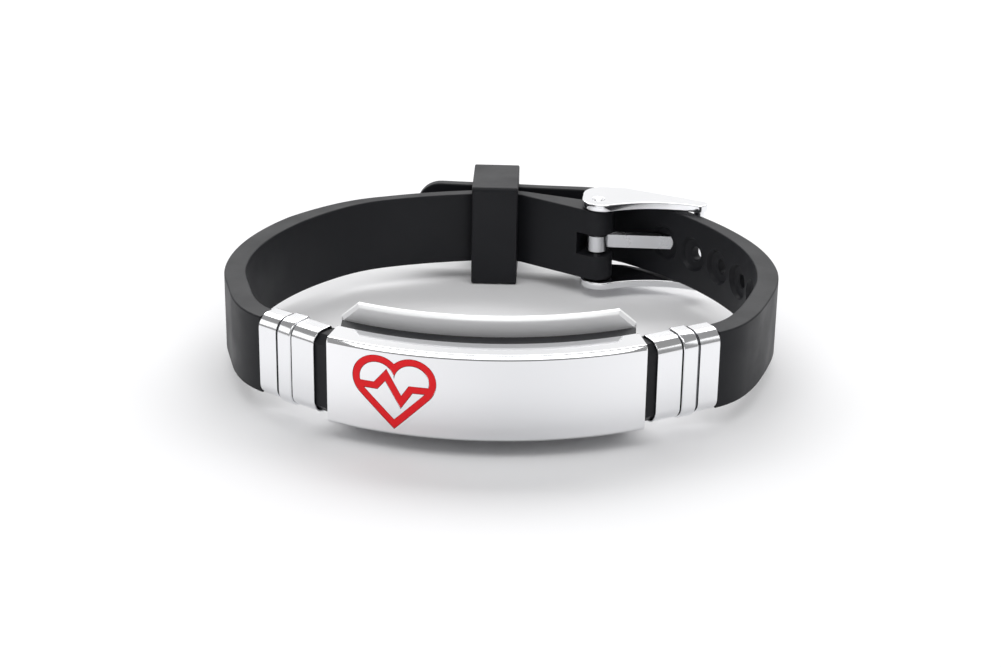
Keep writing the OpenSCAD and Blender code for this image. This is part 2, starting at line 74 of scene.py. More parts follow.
# The floor is a plain white sweep. A wide soft lamp hangs above and in front of the bracelet, a
# stronger one high behind it and a long one low behind it, with a weak one at each side. The room
# between them is a dim grey, which draws the steel's edges.
studio = bpy.context.scene
studio.view_settings.view_transform = "Standard"
studio.view_settings.look = "None"
room = bpy.data.worlds.new("studio room")
studio.world = room
room.use_nodes = True
room.node_tree.nodes["Background"].inputs["Color"].default_value = (1, 1, 1, 1)
room.node_tree.nodes["Background"].inputs["Strength"].default_value = 0.32


def face_of(material):
    return material.node_tree.nodes["Principled BSDF"]


def new_material(name, colour, specular=0.5):
    material = bpy.data.materials.new(name)
    material.use_nodes = True
    face_of(material).inputs["Base Color"].default_value = (*colour, 1)
    face_of(material).inputs["Specular IOR Level"].default_value = specular
    return material


under_plate = 0.02 * mm
bpy.ops.object.select_all(action="DESELECT")
bpy.ops.mesh.primitive_plane_add(size=6)
floor = bpy.context.object
floor.name = "floor"
floor.location.z = cad_box[0][2] - under_plate
floor_paint = new_material("white sweep", (0.9, 0.9, 0.91), specular=0.1)
face_of(floor_paint).inputs["Roughness"].default_value = 0.9
floor.data.materials.append(floor_paint)

for name, at, wide, tall, watts in (
    ("front top lamp", (0, -0.47, 1.10), 1.6, 0.6, 6.2),
    ("high back lamp", (0, 0.82, 0.88), 1.6, 0.6, 11.0),
    ("low back lamp", (0, 1.1, 0.52), 2.6, 0.9, 5.2),
    ("left lamp", (-0.8, -0.1, 0.35), 0.5, 0.4, 0.6),
    ("right lamp", (0.8, -0.1, 0.35), 0.5, 0.4, 0.6),
):
    bpy.ops.object.light_add(type="AREA", location=at)
    lamp = bpy.context.object
    lamp.name = name
    lamp.rotation_euler = Vector(at).to_track_quat("Z", "Y").to_euler()
    lamp.data.shape = "RECTANGLE"
    lamp.data.size, lamp.data.size_y = wide, tall
    lamp.data.energy = watts

# Identity bar: solid stainless steel, bent to a shallow curve and polished, with a chamfer along
# the front's long edges. Its ends are cut at a slant, and a pocket is sunk for the enamel.
loop_shift = Vector((-1.1, -35.955, 0)) * mm
mid_z = 8.3 * mm
bar_long, bar_tall, bar_thick = 41 * mm, 12 * mm, 4.25 * mm
bar_front_r = 46.3 * mm
bar_sweep, bar_facets = radians(58), 174
bar_chamfer, bar_ease = 0.5 * mm, 0.15 * mm
bar_end_turn = radians(14)
bar_end_y = bar_front_r - sqrt(bar_front_r**2 - (bar_long / 2) ** 2)
edge_ease, ease_steps = 0.4 * mm, 4


def flat_dir(angle):
    return Vector((cos(angle), sin(angle)))


def in_place(x, y, z=0.0):
    return Vector((x, y, z)) + loop_shift


def deselect():
    if bpy.context.object and bpy.context.object.mode != "OBJECT":
        bpy.ops.object.mode_set(mode="OBJECT")
    bpy.ops.object.select_all(action="DESELECT")


def take(piece):
    deselect()
    piece.select_set(True)
    bpy.context.view_layer.objects.active = piece


def edit_all():
    bpy.ops.object.mode_set(mode="EDIT")
    bpy.ops.mesh.select_all(action="SELECT")


def end_edit():
    bpy.ops.object.mode_set(mode="OBJECT")


def outline_piece(name, points, lift):
    """A flat outline of points in space, filled, then drawn out by lift into a solid."""
    deselect()
    bpy.ops.mesh.primitive_circle_add(vertices=len(points), fill_type="NGON")
    piece = bpy.context.object
    piece.name = piece.data.name = name
    for vertex, point in zip(piece.data.vertices, points):
        vertex.co = point
    if lift:
        edit_all()
        bpy.ops.mesh.extrude_region_move(TRANSFORM_OT_translate={"value": lift})
        bpy.ops.mesh.select_all(action="SELECT")
        bpy.ops.mesh.normals_make_consistent(inside=False)
        end_edit()
    return piece


def spun_piece(name, section, middle, turn, steps):
    """A section of radii and heights, spun both ways about the upright line at middle."""
    piece = outline_piece(name, [middle + Vector((0, -r, z)) for r, z in section], None)
    edit_all()
    bpy.ops.transform.rotate(
        value=-turn / 2, orient_axis="Z", center_override=middle, orient_type="GLOBAL"
    )
    bpy.ops.mesh.spin(steps=steps, angle=turn, center=middle, axis=(0, 0, 1), use_auto_merge=False)
    end_edit()
    return piece


def mesh_tidy(piece):
    """Merges what lies together and turns the faces outwards."""
    take(piece)
    edit_all()
    bpy.ops.mesh.remove_doubles(threshold=0.002 * mm)
    bpy.ops.mesh.normals_make_consistent(inside=False)
    end_edit()


def saw(piece, at, normal):
    """Cuts the piece along a plane and closes the cut; what lies along the normal goes."""
    take(piece)
    edit_all()
    bpy.ops.mesh.bisect(
        plane_co=at, plane_no=normal, use_fill=True, clear_outer=True, threshold=0.0001 * mm
    )
    end_edit()


def ease_edges(piece, width, sharper=30, segments=2):
    """Rounds every edge that is sharper than an angle."""
    take(piece)
    rounding = piece.modifiers.new("rounding", "BEVEL")
    rounding.width = width
    rounding.segments = segments
    rounding.limit_method = "ANGLE"
    rounding.angle_limit = radians(sharper)
    rounding.miter_outer = "MITER_ARC"
    bpy.ops.object.modifier_apply(modifier=rounding.name)


def combine(piece, other, how):
    """Joins the other piece to the first, or cuts with it; the other one is used up."""
    take(piece)
    joint = piece.modifiers.new("joint", "BOOLEAN")
    joint.operation = how
    joint.solver = "EXACT"
    joint.object = other
    bpy.ops.object.modifier_apply(modifier=joint.name)
    bpy.data.objects.remove(other)


def finish_piece(piece, node, material, smooth=30):
    take(piece)
    bpy.ops.object.shade_smooth_by_angle(angle=radians(smooth))
    flatness = piece.modifiers.new("flatness", "WEIGHTED_NORMAL")
    flatness.keep_sharp = True
    bpy.ops.object.modifier_apply(modifier=flatness.name)
    piece.data.materials.clear()
    piece.data.materials.append(material)
    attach(piece, "root")
    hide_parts(node)


def chamfered_section(outer_r, thick, half, chamfer):
    """Section of a bent plate: plain at the back, with an eased chamfer at the front."""
    leg = edge_ease * tan(radians(22.5))
    eased = (
        (outer_r - chamfer - leg, half - edge_ease, 0),
        (outer_r - edge_ease, half - chamfer - leg, pi / 4),
    )
    corner = [(outer_r - thick, half)]
    for r, z, start in eased:
        for k in range(ease_steps + 1):
            turn = start + k / ease_steps * pi / 4
            corner.append((r + edge_ease * sin(turn), z + edge_ease * cos(turn)))
    return corner + [(r, -z) for r, z in reversed(corner)]


bar_middle = in_place(0, bar_front_r, mid_z)
bar = spun_piece(
    "identity_bar",
    chamfered_section(bar_front_r, bar_thick, bar_tall / 2, bar_chamfer),
    bar_middle,
    bar_sweep,
    bar_facets,
)
for side in (-1, 1):
    saw(
        bar,
        in_place(side * bar_long / 2, bar_end_y, mid_z),
        (side * cos(bar_end_turn), sin(bar_end_turn), 0),
    )
mesh_tidy(bar)
ease_edges(bar, bar_ease)

# the emblem: a square heart on its tip, and a pulse line in shares of the heart's side above it
heart_side, emblem_x = 6.3 * mm, 11.6 * mm
heart_tall = heart_side * (3 / sqrt(8) + 1 / 2)
heart_tip = in_place(-emblem_x, 0, mid_z - heart_tall / 2)
lobe_steps = 40
line_wide, enamel_deep, pocket_room = 0.85 * mm, 0.4 * mm, 0.07 * mm
pulse_turns = [(-0.76, 0.9), (-0.38, 0.9), (-0.17, 1.16), (0.14, 0.6), (0.34, 0.9), (0.76, 0.9)]


def heart_outline(grow):
    lobe_middle = heart_side / sqrt(8) * Vector((1, 3))
    lobe_r = heart_side / 2 + grow
    sweep = acos(-lobe_middle.x / lobe_r) + pi / 4
    half = [
        lobe_middle + lobe_r * flat_dir(k / lobe_steps * sweep - pi / 4)
        for k in range(lobe_steps + 1)
    ]
    return [Vector((0, -grow * sqrt(2)))] + half + [Vector((-p.x, p.y)) for p in half[-2::-1]]


def pulse_outline(grow):
    line = [heart_side * Vector(p) for p in pulse_turns]
    ways = [(b - a).normalized() for a, b in zip(line, line[1:])]
    sides = []
    for before, after in zip(ways[:1] + ways, ways + ways[-1:]):
        left = Vector((-before.y, before.x)) + Vector((-after.y, after.x))
        sides.append(left / (1 + before.dot(after)) * (line_wide / 2 + grow))
    return [p + s for p, s in zip(line, sides)] + [p - s for p, s in zip(line, sides)][::-1]


def emblem_prism(name, grow):
    """The emblem's plan drawn through the bar, from well in front of it to well behind."""
    reach = 12 * mm

    def drawn(part, outline):
        points = [heart_tip + Vector((p.x, -reach / 4, p.y)) for p in outline]
        return outline_piece(part, points, (0, reach, 0))

    heart = drawn(name, heart_outline(grow))
    combine(heart, drawn("inside", heart_outline(-line_wide - grow)), "DIFFERENCE")
    combine(heart, drawn("pulse", pulse_outline(grow)), "UNION")
    return heart


def front_layer(inner_r, outer_r):
    """Layer of the bar's front between two radii, with the bar's own facets."""
    section = [
        (inner_r, -bar_tall),
        (outer_r, -bar_tall),
        (outer_r, bar_tall),
        (inner_r, bar_tall),
    ]
    layer = spun_piece("layer", section, bar_middle, bar_sweep, bar_facets)
    mesh_tidy(layer)
    return layer


pocket = emblem_prism("pocket", pocket_room)
combine(pocket, front_layer(bar_front_r - enamel_deep, bar_front_r + 3 * mm), "INTERSECT")
combine(bar, pocket, "DIFFERENCE")


def shared_effect(name, inputs, outputs):
    """An empty node group with named sockets, for an effect that several materials share."""
    group = bpy.data.node_groups.new(name, "ShaderNodeTree")
    for label, kind, value in inputs:
        socket = group.interface.new_socket(label, in_out="INPUT", socket_type="NodeSocket" + kind)
        if value is not None:
            socket.default_value = value
    for label, kind in outputs:
        group.interface.new_socket(label, in_out="OUTPUT", socket_type="NodeSocket" + kind)
    return group, group.nodes.new("NodeGroupInput"), group.nodes.new("NodeGroupOutput")


def add_node(tree, kind, **values):
    """A node with its input values set; names have spaces for their underscores."""
    node = tree.nodes.new("ShaderNode" + kind)
    for label, value in values.items():
        node.inputs[label.replace("_", " ")].default_value = value
    return node


def lead(output, node, label):
    """Links an output to an input of a node in the same tree."""
    node.id_data.links.new(output, node.inputs[label])


# fine marks of wear: a cloudy haze in the gloss, hairlines along X and small pits
fine_wear, wear_in, wear_out = shared_effect(
    "fine_wear",
    [
        ("Vector", "Vector", None),
        ("Gloss roughness", "Float", 0.1),
        ("Haze", "Float", 0.05),
        ("Hairlines", "Float", 0.1),
        ("Pits", "Float", 0.1),
    ],
    [("Roughness", "Float"), ("Normal", "Vector")],
)
mark_deep = 0.01 * mm
haze = add_node(fine_wear, "TexNoise", Scale=160, Detail=4)
hazy = add_node(fine_wear, "MapRange", From_Min=0.35, From_Max=0.7, To_Min=0, To_Max=1)
haze_share = add_node(fine_wear, "Math")
haze_share.operation = "MULTIPLY_ADD"
lead(wear_in.outputs["Vector"], haze, "Vector")
lead(haze.outputs["Fac"], hazy, "Value")
lead(hazy.outputs["Result"], haze_share, 0)
lead(wear_in.outputs["Haze"], haze_share, 1)
lead(wear_in.outputs["Gloss roughness"], haze_share, 2)
lead(haze_share.outputs["Value"], wear_out, "Roughness")
drawn_out = add_node(fine_wear, "Mapping", Scale=(60, 60, 2600))
lines = add_node(fine_wear, "TexNoise", Scale=1, Detail=5)
line_bump = add_node(fine_wear, "Bump", Distance=mark_deep)
lead(wear_in.outputs["Vector"], drawn_out, "Vector")
lead(drawn_out.outputs["Vector"], lines, "Vector")
lead(lines.outputs["Fac"], line_bump, "Height")
lead(wear_in.outputs["Hairlines"], line_bump, "Strength")
pits = add_node(fine_wear, "TexNoise", Scale=2400, Detail=2)
pit_bump = add_node(fine_wear, "Bump", Distance=mark_deep)
lead(wear_in.outputs["Vector"], pits, "Vector")
lead(pits.outputs["Fac"], pit_bump, "Height")
lead(wear_in.outputs["Pits"], pit_bump, "Strength")
lead(line_bump.outputs["Normal"], pit_bump, "Normal")
lead(pit_bump.outputs["Normal"], wear_out, "Normal")


def worn(material, roughness, haze, hairlines, pits):
    """Puts the wear group on a material, with its own amounts."""
    tree = material.node_tree
    where = add_node(tree, "TexCoord")
    wear = add_node(tree, "Group")
    wear.node_tree = fine_wear
    amounts = {"Gloss roughness": roughness, "Haze": haze, "Hairlines": hairlines, "Pits": pits}
    for label, value in amounts.items():
        wear.inputs[label].default_value = value
    lead(where.outputs["Object"], wear, "Vector")
    for label in ("Roughness", "Normal"):
        lead(wear.outputs[label], face_of(material), label)


def steel(name, colour, roughness, haze, hairlines, metallic=1.0):
    """Stainless steel with a faint haze and fine hairlines from wear."""
    material = new_material(name, colour)
    face_of(material).inputs["Metallic"].default_value = metallic
    worn(material, roughness, haze, hairlines, pits=0.05)
    return material


def toned(material, mask, plain, full):
    """Leads a mask from 0 to 1 into the steel's colour."""
    tones = add_node(material.node_tree, "ValToRGB")
    for element, tone in zip(tones.color_ramp.elements, (plain, full)):
        element.color = (*tone, 1)
    lead(mask, tones, "Fac")
    lead(tones.outputs["Color"], face_of(material), "Base Color")


# painted shade: the bar's middle is given a darker colour, standing for a dimmer reflection; the
# darker tone fades out 28 to 33 mm from there
bar_steel = steel("bar steel with painted shade", (0.85, 0.855, 0.87), roughness=0.05, haze=0.04, hairlines=0.15)
bar_where = add_node(bar_steel.node_tree, "TexCoord")
bar_shade_spread = add_node(
    bar_steel.node_tree, "Mapping", Location=(-0.1, 1.2, -0.25), Scale=(36, 30, 30)
)
bar_painted_shade = add_node(bar_steel.node_tree, "TexGradient")
bar_painted_shade.gradient_type = "SPHERICAL"
lead(bar_where.outputs["Object"], bar_shade_spread, "Vector")
lead(bar_shade_spread.outputs["Vector"], bar_painted_shade, "Vector")
toned(bar_steel, bar_painted_shade.outputs["Fac"], plain=(0.93, 0.933, 0.945), full=(0.73, 0.735, 0.75))
finish_piece(bar, "id_bar", bar_steel)

# Enamel emblem: a heart with a pulse line, in hard red enamel fired into the bar's pocket and
# stoned a hair below the steel.
enamel_bed, enamel_low = 0.02 * mm, 0.03 * mm
enamel = new_material("red enamel", (0.88, 0.008, 0.014), specular=0.22)
worn(enamel, roughness=0.2, haze=0.08, hairlines=0.05, pits=0.2)
inlay = emblem_prism("enamel_inlay", 0)
enamel_layer = front_layer(bar_front_r - enamel_deep + enamel_bed, bar_front_r - enamel_low)
combine(inlay, enamel_layer, "INTERSECT")
mesh_tidy(inlay)
finish_piece(inlay, "emblem_enamel", enamel)

# Back plate: a thinner bent plate of the same steel behind the bar, taller than it, with its
# corners cut off and its front edges bevelled. The bracelet stands on its lower edge.
plate_long, plate_tall, plate_thick = 38.4 * mm, 16.6 * mm, 1 * mm
plate_r, plate_corner, plate_bevel = 42 * mm, 2.3 * mm, 0.4 * mm
plate_sweep, plate_facets, plate_ease = radians(60), 150, 0.1 * mm
bend_y = 49 * mm
bend_middle = in_place(0, bend_y, mid_z)
plate = spun_piece(
    "back_plate_steel",
    chamfered_section(plate_r, plate_thick, plate_tall / 2, plate_bevel),
    bend_middle,
    plate_sweep,
    plate_facets,
)


def saw_bevelled(across, up, face):
    """Saws the plate at a point of its front, then bevels the front along the cut."""
    lean = asin(across / plate_r)
    front = Vector((sin(lean), -cos(lean), 0))
    at = bend_middle + plate_r * front + Vector((0, 0, up))
    saw(plate, at, face)
    bevel = (front + face).normalized()
    saw(plate, at - bevel * plate_bevel * sqrt((1 - front.dot(face)) / 2), bevel)


for side in (-1, 1):
    saw_bevelled(side * plate_long / 2, 0, Vector((side, 0, 0)))
    for up in (-1, 1):
        saw_bevelled(
            side * (plate_long - plate_corner) / 2,
            up * (plate_tall - plate_corner) / 2,
            Vector((side, 0, up)).normalized(),
        )
mesh_tidy(plate)
ease_edges(plate, plate_ease, sharper=24)
satin_steel = steel(
    "satin steel", (0.95, 0.952, 0.96), roughness=0.5, haze=0.1, hairlines=0.3, metallic=0.7
)
finish_piece(plate, "back_plate", satin_steel, smooth=24)

# Strap: one moulding of black silicone. It lies behind the bar, runs through both caps and round
# the wrist. One side ends in a fold round the buckle's pin, the other has the holes and the tail.
strap_wide, strap_thick, pad_thick = 10.9 * mm, 3 * mm, 2.4 * mm
thin_thick, tail_thick = 1.9 * mm, 1.6 * mm
strap_inset, strap_ease, pad_ease = 0.15 * mm, 0.25 * mm, 0.2 * mm
wrist_wide, wrist_deep, wrist_shift = 70.6 * mm, 55 * mm, 1.1 * mm
plate_inner_y = 8 * mm
fold_long, fold_thick, fold_pass = 12 * mm, 4.7 * mm, 4.4 * mm
buckle_long, buckle_turn = 15 * mm, radians(-4)
cap_long = 9.6 * mm
fit_gap = 0.1 * mm


def at_bar_end(turn):
    """Where the strap's inner face starts at the bar's end, for its heading there."""
    back = strap_inset + strap_thick / cos(turn)
    return Vector((bar_long / 2 - back * tan(bar_end_turn), bar_end_y + back))


def heading_of(step):
    return atan2(step.y, step.x)


def half_turn(start, heading, end):
    """Half the turn of an arc that leaves start on a heading and comes to end."""
    return (heading_of(end - start) - heading + 3 * pi) % (2 * pi) - pi


def arc(start, heading, end, thick_0, thick_1):
    """Middle, radius, first angle and sweep of an arc, with the thickness at its two ends."""
    turn = half_turn(start, heading, end)
    radius = (end - start).length / (2 * sin(turn))
    middle = start + radius * flat_dir(heading + pi / 2)
    return middle, radius, heading - pi / 2, 2 * turn, thick_0, thick_1


def arcs_through(stations):
    """Two arcs from each station to the next; a station is a point, a heading and a thickness."""
    arcs = []
    for (p, p_head, p_thick), (q, q_head, q_thick) in zip(stations, stations[1:]):
        out, into, step = flat_dir(p_head), flat_dir(q_head), q - p
        k = 2 * (1 - out.dot(into))
        along = step.dot(out + into)
        reach = (sqrt(along**2 + k * step.length_squared) - along) / k
        joint = (p + q + reach * (out - into)) / 2
        joint_head = p_head + 2 * half_turn(p, p_head, joint)
        joint_thick = (p_thick + q_thick) / 2
        arcs.append(arc(p, p_head, joint, p_thick, joint_thick))
        arcs.append(arc(joint, joint_head, q, joint_thick, q_thick))
    return arcs


arc_step = radians(1.5)


def points_along(arcs, moved):
    """Points along the strap's inner face, or its outer one where moved is 1."""
    points = []
    for middle, radius, start, sweep, thick_0, thick_1 in arcs:
        steps = ceil(abs(sweep) / arc_step)
        for k in range(steps):
            share = k / steps
            thick = moved * (thick_0 + share * (thick_1 - thick_0))
            points.append(middle + (radius + thick) * flat_dir(start + share * sweep))
    return points


def place_on(arcs, distance):
    """The point and the outward turn at a distance along the inner face."""
    for middle, radius, start, sweep, _, _ in arcs:
        if distance <= radius * sweep:
            turn = start + distance / radius
            return middle + radius * flat_dir(turn), turn
        distance -= radius * sweep


def past_cap(turn, show):
    """The station where the strap leaves its cap; show is what lies bare before the cap."""
    return at_bar_end(turn) + (show + cap_long) * flat_dir(turn), turn, strap_thick


def round_wrist(shift, rows):
    """Stations from shares of the wrist's half width and depth, and headings in degrees."""
    return [
        (
            Vector((shift + share_x * wrist_wide / 2, plate_inner_y + share_y * wrist_deep)),
            radians(heading),
            thick,
        )
        for share_x, share_y, heading, thick in rows
    ]


left_turn, right_turn = radians(36), radians(31)
left_show, right_show = 1.1 * mm, 0.7 * mm
left_stations = [past_cap(left_turn, left_show)] + round_wrist(-wrist_shift, [
    (0.943, 0.243, 75, strap_thick),
    (1, 0.425, 90, strap_thick),
    (0.833, 0.748, 125, strap_thick),
    (0.51, 0.929, 158, thin_thick),
    (0.102, 1, 171, thin_thick),
    (-0.077, 0.995, 190, thin_thick),
])
fold_start, fold_head = left_stations[-1][:2]
fold_turn = fold_head + radians(17)
fold_from = fold_start + thin_thick / 2 * flat_dir(fold_head - pi / 2)
fold_to = fold_from + fold_long * flat_dir(fold_turn)
pin_at = Vector((-fold_to.x, fold_to.y))

# the hole side goes in behind the far bar, bends beside the pin and passes over the fold
far_bar_at = pin_at + buckle_long * flat_dir(buckle_turn)
far_bar_thick, arm_gap = 1.6 * mm, 0.2 * mm
far_reach = far_bar_thick / 2 + arm_gap + thin_thick
bend_from_pin, bend_lean = 8 * mm, radians(21)
tail_past_fold, tail_gap = 2.4 * mm, 1.5 * mm
right_stations = [past_cap(right_turn, right_show)] + round_wrist(wrist_shift, [
    (0.92, 0.238, 70, strap_thick),
    (1, 0.464, 90, strap_thick),
]) + [
    (far_bar_at - far_reach * flat_dir(radians(40)), radians(130), thin_thick),
    (pin_at + bend_from_pin * flat_dir(buckle_turn + bend_lean), radians(139), thin_thick),
    (
        pin_at + (fold_thick / 2 + fold_pass) * flat_dir(buckle_turn + radians(80)),
        radians(158),
        (thin_thick + tail_thick) / 2,
    ),
    (
        Vector((tail_past_fold - fold_from.x, fold_from.y + thin_thick / 2 + tail_gap)),
        radians(176),
        tail_thick,
    ),
]
left_arcs, right_arcs = arcs_through(left_stations), arcs_through(right_stations)


def strap_side(name, arcs, turn, inner_end, outer_end, mirrored):
    """One side of the strap, from inside its cap along both faces to the points at its end."""
    start = at_bar_end(turn) - strap_thick * flat_dir(turn)
    outline = (
        [start]
        + points_along(arcs, 0)
        + inner_end
        + outer_end[::-1]
        + points_along(arcs, 1)[::-1]
        + [start + strap_thick * flat_dir(turn - pi / 2)]
    )
    low = mid_z - strap_wide / 2
    return outline_piece(
        name,
        [in_place(-p.x if mirrored else p.x, p.y, low) for p in outline],
        (0, 0, strap_wide),
    )


# the fold ends round, and meets the strap's two faces without a step
fold_lean = acos((thin_thick - fold_thick) / 2 / fold_long)
round_steps = 14
fold_rim = [
    fold_to + fold_thick / 2 * flat_dir(fold_turn + fold_lean * (1 - k / round_steps))
    for k in range(2 * round_steps + 1)
]
tail_at, tail_head = right_stations[-1][:2]
tail_way, tail_side = flat_dir(tail_head), flat_dir(tail_head - pi / 2)
tail_long, tail_round = 19.5 * mm, 3.8 * mm
tail_line = [tail_at, tail_at + tail_long * tail_way]
tail_outer = [p + tail_thick * tail_side for p in tail_line]

strap = strap_side(
    "silicone_strap", right_arcs, right_turn, tail_line, tail_outer, mirrored=False
)
buckle_side = strap_side("buckle_side", left_arcs, left_turn, fold_rim, [], mirrored=True)

# the tail's two corners are rounded before the long edges are
corner_middle = Vector((tail_long - tail_round, strap_wide / 2 - tail_round))
corner_steps = 12
beyond = tail_round + mm
corner_rim = [
    corner_middle + tail_round * flat_dir(k * pi / 2 / corner_steps)
    for k in range(corner_steps + 1)
]
corner_rim += [corner_middle + Vector(p) for p in ((0, beyond), (beyond, beyond), (beyond, 0))]
for up in (-1, 1):
    corner = []
    for p in corner_rim:
        at = tail_at + p.x * tail_way - 2 * tail_thick * tail_side
        corner.append(in_place(at.x, at.y, mid_z + up * p.y))
    across = 5 * tail_thick * tail_side
    combine(strap, outline_piece("waste", corner, (across.x, across.y, 0)), "DIFFERENCE")

# behind the bar the strap is a tall pad, and a narrow tongue leads from it to each side
pad_inner_r = plate_r + fit_gap
pad_outer_r = pad_inner_r + pad_thick
pad_half_long, pad_half_tall = bar_long / 2 - 1.4 * mm, 5.85 * mm
tongue_half_long, tongue_half_tall = bar_long / 2 + 0.2 * mm, 4.3 * mm
wall_steps = 40


def bent_wall(name, inner_r, outer_r, half_long, half_tall):
    """Upright wall bent about the plate's middle, between two radii."""
    points = []
    for r, order in ((inner_r, 1), (outer_r, -1)):
        reach = asin(half_long / r)
        for k in range(-wall_steps, wall_steps + 1):
            turn = order * reach * k / wall_steps
            points.append(bend_middle + Vector((r * sin(turn), -r * cos(turn), -half_tall)))
    return outline_piece(name, points, (0, 0, 2 * half_tall))


pad = bent_wall("pad", pad_inner_r, pad_outer_r, pad_half_long, pad_half_tall)
tongue = bent_wall("tongue", pad_inner_r, pad_outer_r, tongue_half_long, tongue_half_tall)
mesh_tidy(strap)
ease_edges(strap, strap_ease, sharper=50, segments=3)
ease_edges(buckle_side, strap_ease, sharper=50, segments=3)
ease_edges(pad, pad_ease, sharper=50)

# the outer edges are cut off at a slant inside the caps
cap_slant = 1.075 * mm
slant_corners = (
    (strap_thick - 2 * cap_slant, strap_wide / 2 + cap_slant),
    (strap_thick + cap_slant, strap_wide / 2 - 2 * cap_slant),
    (strap_thick + cap_slant, strap_wide / 2 + cap_slant),
)
for side, part, turn, show in (
    (1, strap, right_turn, right_show),
    (-1, buckle_side, left_turn, left_show),
):
    along, out = flat_dir(turn), flat_dir(turn - pi / 2)
    start = at_bar_end(turn) - 2 * strap_thick * along
    reach = (2 * strap_thick + show + cap_long + fit_gap) * along
    for up in (-1, 1):
        corners = []
        for depth, height in slant_corners:
            at = start + depth * out
            corners.append(in_place(side * at.x, at.y, mid_z + up * height))
        waste = outline_piece("waste", corners, (side * reach.x, reach.y, 0))
        combine(part, waste, "DIFFERENCE")

for part in (buckle_side, pad, tongue):
    mesh_tidy(part)
    combine(strap, part, "UNION")

# room for the bar, down to the pad's front
through = 20 * mm
slot_half, slot_reach = bar_long / 2 + fit_gap, 3 * bar_thick
slot_walls = [
    (slot_half - way * slot_reach * tan(bar_end_turn), bar_end_y + way * slot_reach)
    for way in (-1, 1)
]
slot_outline = [in_place(x, y, -mm) for x, y in slot_walls]
slot_outline += [in_place(-x, y, -mm) for x, y in reversed(slot_walls)]
bar_slot = outline_piece("bar_slot", slot_outline, (0, 0, through))
combine(bar_slot, bent_wall("behind", 30 * mm, pad_outer_r, 26 * mm, 12 * mm), "DIFFERENCE")
combine(strap, bar_slot, "DIFFERENCE")


def turned_piece(name, profile, at, axis):
    """Round piece: a profile of radius and depth, spun about an axis through a point."""
    outline = [(0.0, profile[0][1])] + profile + [(0.0, profile[-1][1])]
    piece = outline_piece(name, [Vector((r, 0, d)) for r, d in outline], None)
    edit_all()
    bpy.ops.mesh.delete(type="ONLY_FACE")
    bpy.ops.mesh.select_all(action="SELECT")
    bpy.ops.mesh.spin(steps=48, angle=2 * pi, center=(0, 0, 0), axis=(0, 0, 1))
    end_edit()
    mesh_tidy(piece)
    lean = Vector(axis).to_track_quat("Z", "Y").to_matrix().to_4x4()
    piece.matrix_world = Matrix.Translation(at) @ lean
    bpy.ops.object.transform_apply(location=True, rotation=True, scale=True)
    return piece


# adjusting holes, each in a round dimple of the inner face
hole_r, dimple_r, dimple_deep = 1 * mm, 2.5 * mm, 0.6 * mm
hole_pitch, hole_count = 6.1 * mm, 4
arcs_before_bend, hole_before_bend = 8, 3.4 * mm
hole_profile = [
    (dimple_r + 0.5 * mm, -2 * mm),
    (dimple_r + 0.2 * mm, -0.1 * mm),
    (dimple_r, 0.12 * mm),
    (dimple_r - 0.2 * mm, dimple_deep * 0.8),
    (dimple_r - 0.45 * mm, dimple_deep),
    (hole_r + 0.2 * mm, dimple_deep + 0.02 * mm),
    (hole_r, dimple_deep + 0.2 * mm),
    (hole_r, 5 * mm),
]
before_bend = sum(radius * sweep for _, radius, _, sweep, _, _ in right_arcs[:arcs_before_bend])
prong_hole_at = before_bend - hole_before_bend
for k in range(hole_count + 1):
    at, turn = place_on(right_arcs, prong_hole_at - k * hole_pitch)
    hole_axis = (cos(turn), sin(turn), 0)
    cutter = turned_piece("cutter", hole_profile, in_place(at.x, at.y, mid_z), hole_axis)
    combine(strap, cutter, "DIFFERENCE")

# bore for the hinge pin, slot for the prong's knuckle, and the prong's way through its hole
knuckle_thick, prong_thick, prong_wide, prong_crest = 3.2 * mm, 1.3 * mm, 2 * mm, 1.4 * mm
prong_hole, prong_hole_turn = place_on(right_arcs, prong_hole_at)
prong_root = pin_at + (knuckle_thick - prong_thick) / 2 * flat_dir(buckle_turn + pi / 2)
prong_in_hole = prong_hole + thin_thick / 2 * flat_dir(prong_hole_turn)
prong_way = (prong_in_hole - prong_root).normalized()
prong_top = prong_in_hole + prong_crest * prong_way
prong_off_bar = far_bar_thick / 2 + fit_gap + prong_thick / 2
prong_drop = far_bar_at - prong_top
prong_fall = flat_dir(heading_of(prong_drop) + asin(prong_off_bar / prong_drop.length))
fold_way, fold_side = flat_dir(pi - fold_turn), flat_dir(3 * pi / 2 - fold_turn)
bore_r, slot_tall, slot_back, slot_open = 0.9 * mm, 3.4 * mm, 2.4 * mm, 5 * mm
knuckle_slot = [
    pin_at + along * fold_way + across * fold_side
    for along, across in (
        (-slot_back, -slot_open),
        (slot_open, -slot_open),
        (slot_open, slot_open),
        (-slot_back, slot_open),
    )
]


def beside_prong(start, end):
    """Corners of a stretch of the prong with room round it."""
    way = (end - start).normalized()
    side = Vector((-way.y, way.x)) * (prong_thick / 2 + fit_gap)
    return [start + side, start - side, end - side, end + side]


way_in_from, way_out_lap, way_out_long = 6 * mm, 0.3 * mm, 2.5 * mm
way_in = beside_prong(prong_root + way_in_from * prong_way, prong_top)
way_out = beside_prong(prong_top - way_out_lap * prong_fall, prong_top + way_out_long * prong_fall)
for name, outline, tall in (
    ("bore", [pin_at + bore_r * flat_dir(k * pi / 24) for k in range(48)], through),
    ("knuckle_slot", knuckle_slot, slot_tall),
    ("prong_way_in", way_in, prong_wide + 2 * fit_gap),
    ("prong_way_out", way_out, prong_wide + 2 * fit_gap),
):
    points = [in_place(p.x, p.y, mid_z - tall / 2) for p in outline]
    combine(strap, outline_piece(name, points, (0, 0, tall)), "DIFFERENCE")

silicone = new_material("black silicone", (0.0115, 0.012, 0.0145), specular=0.2)
worn(silicone, roughness=0.42, haze=0.12, hairlines=0.0, pits=0.5)
finish_piece(strap, "strap", silicone, smooth=35)

